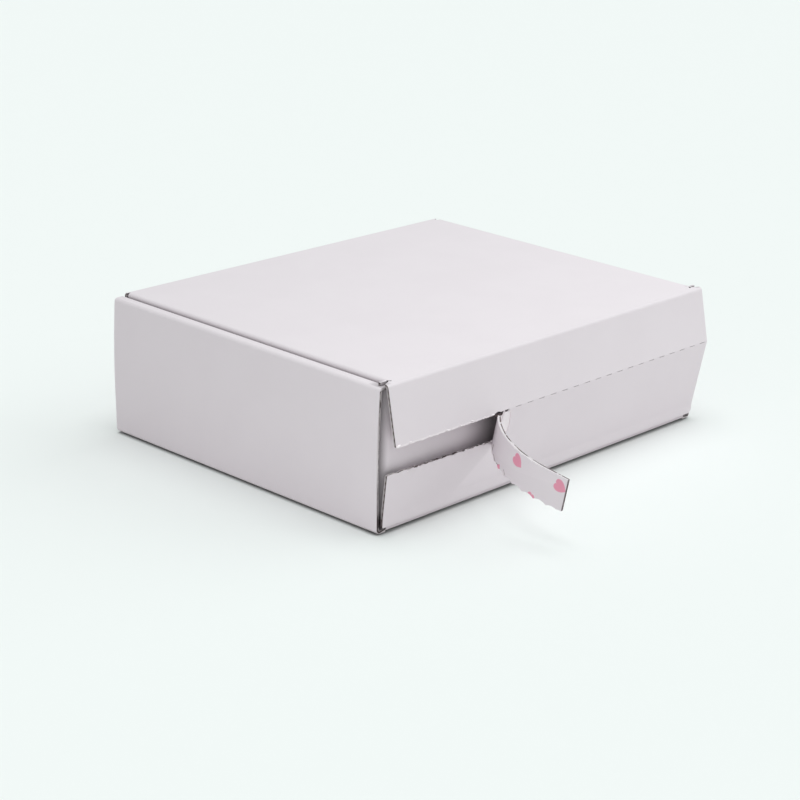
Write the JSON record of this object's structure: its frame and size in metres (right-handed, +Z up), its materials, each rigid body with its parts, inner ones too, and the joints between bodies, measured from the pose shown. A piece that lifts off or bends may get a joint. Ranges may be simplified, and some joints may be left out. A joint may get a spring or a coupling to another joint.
{
  "type": "roll-end mailer box",
  "caption": "Low rectangular corrugated board mailer box, closed and sealed, with rolled side walls and a front flap whose tear strip is pulled part of the way and curls out.",
  "frame": {"origin": "centre of the underside of the box's base", "axes": "+X along the long side, to the right as seen from the flap; +Y from the front flap to the rear hinge; +Z up, out through the lid"},
  "size_m": [0.2512, 0.2582, 0.0745],
  "materials": {
    "white_board": "matte white liner over fluted board",
    "adhesive": "hot-melt adhesive strip"
  },
  "bodies": {
    "root": {"box_blank": "white_board", "seal_strip": "adhesive"}
  },
  "joints": []
}
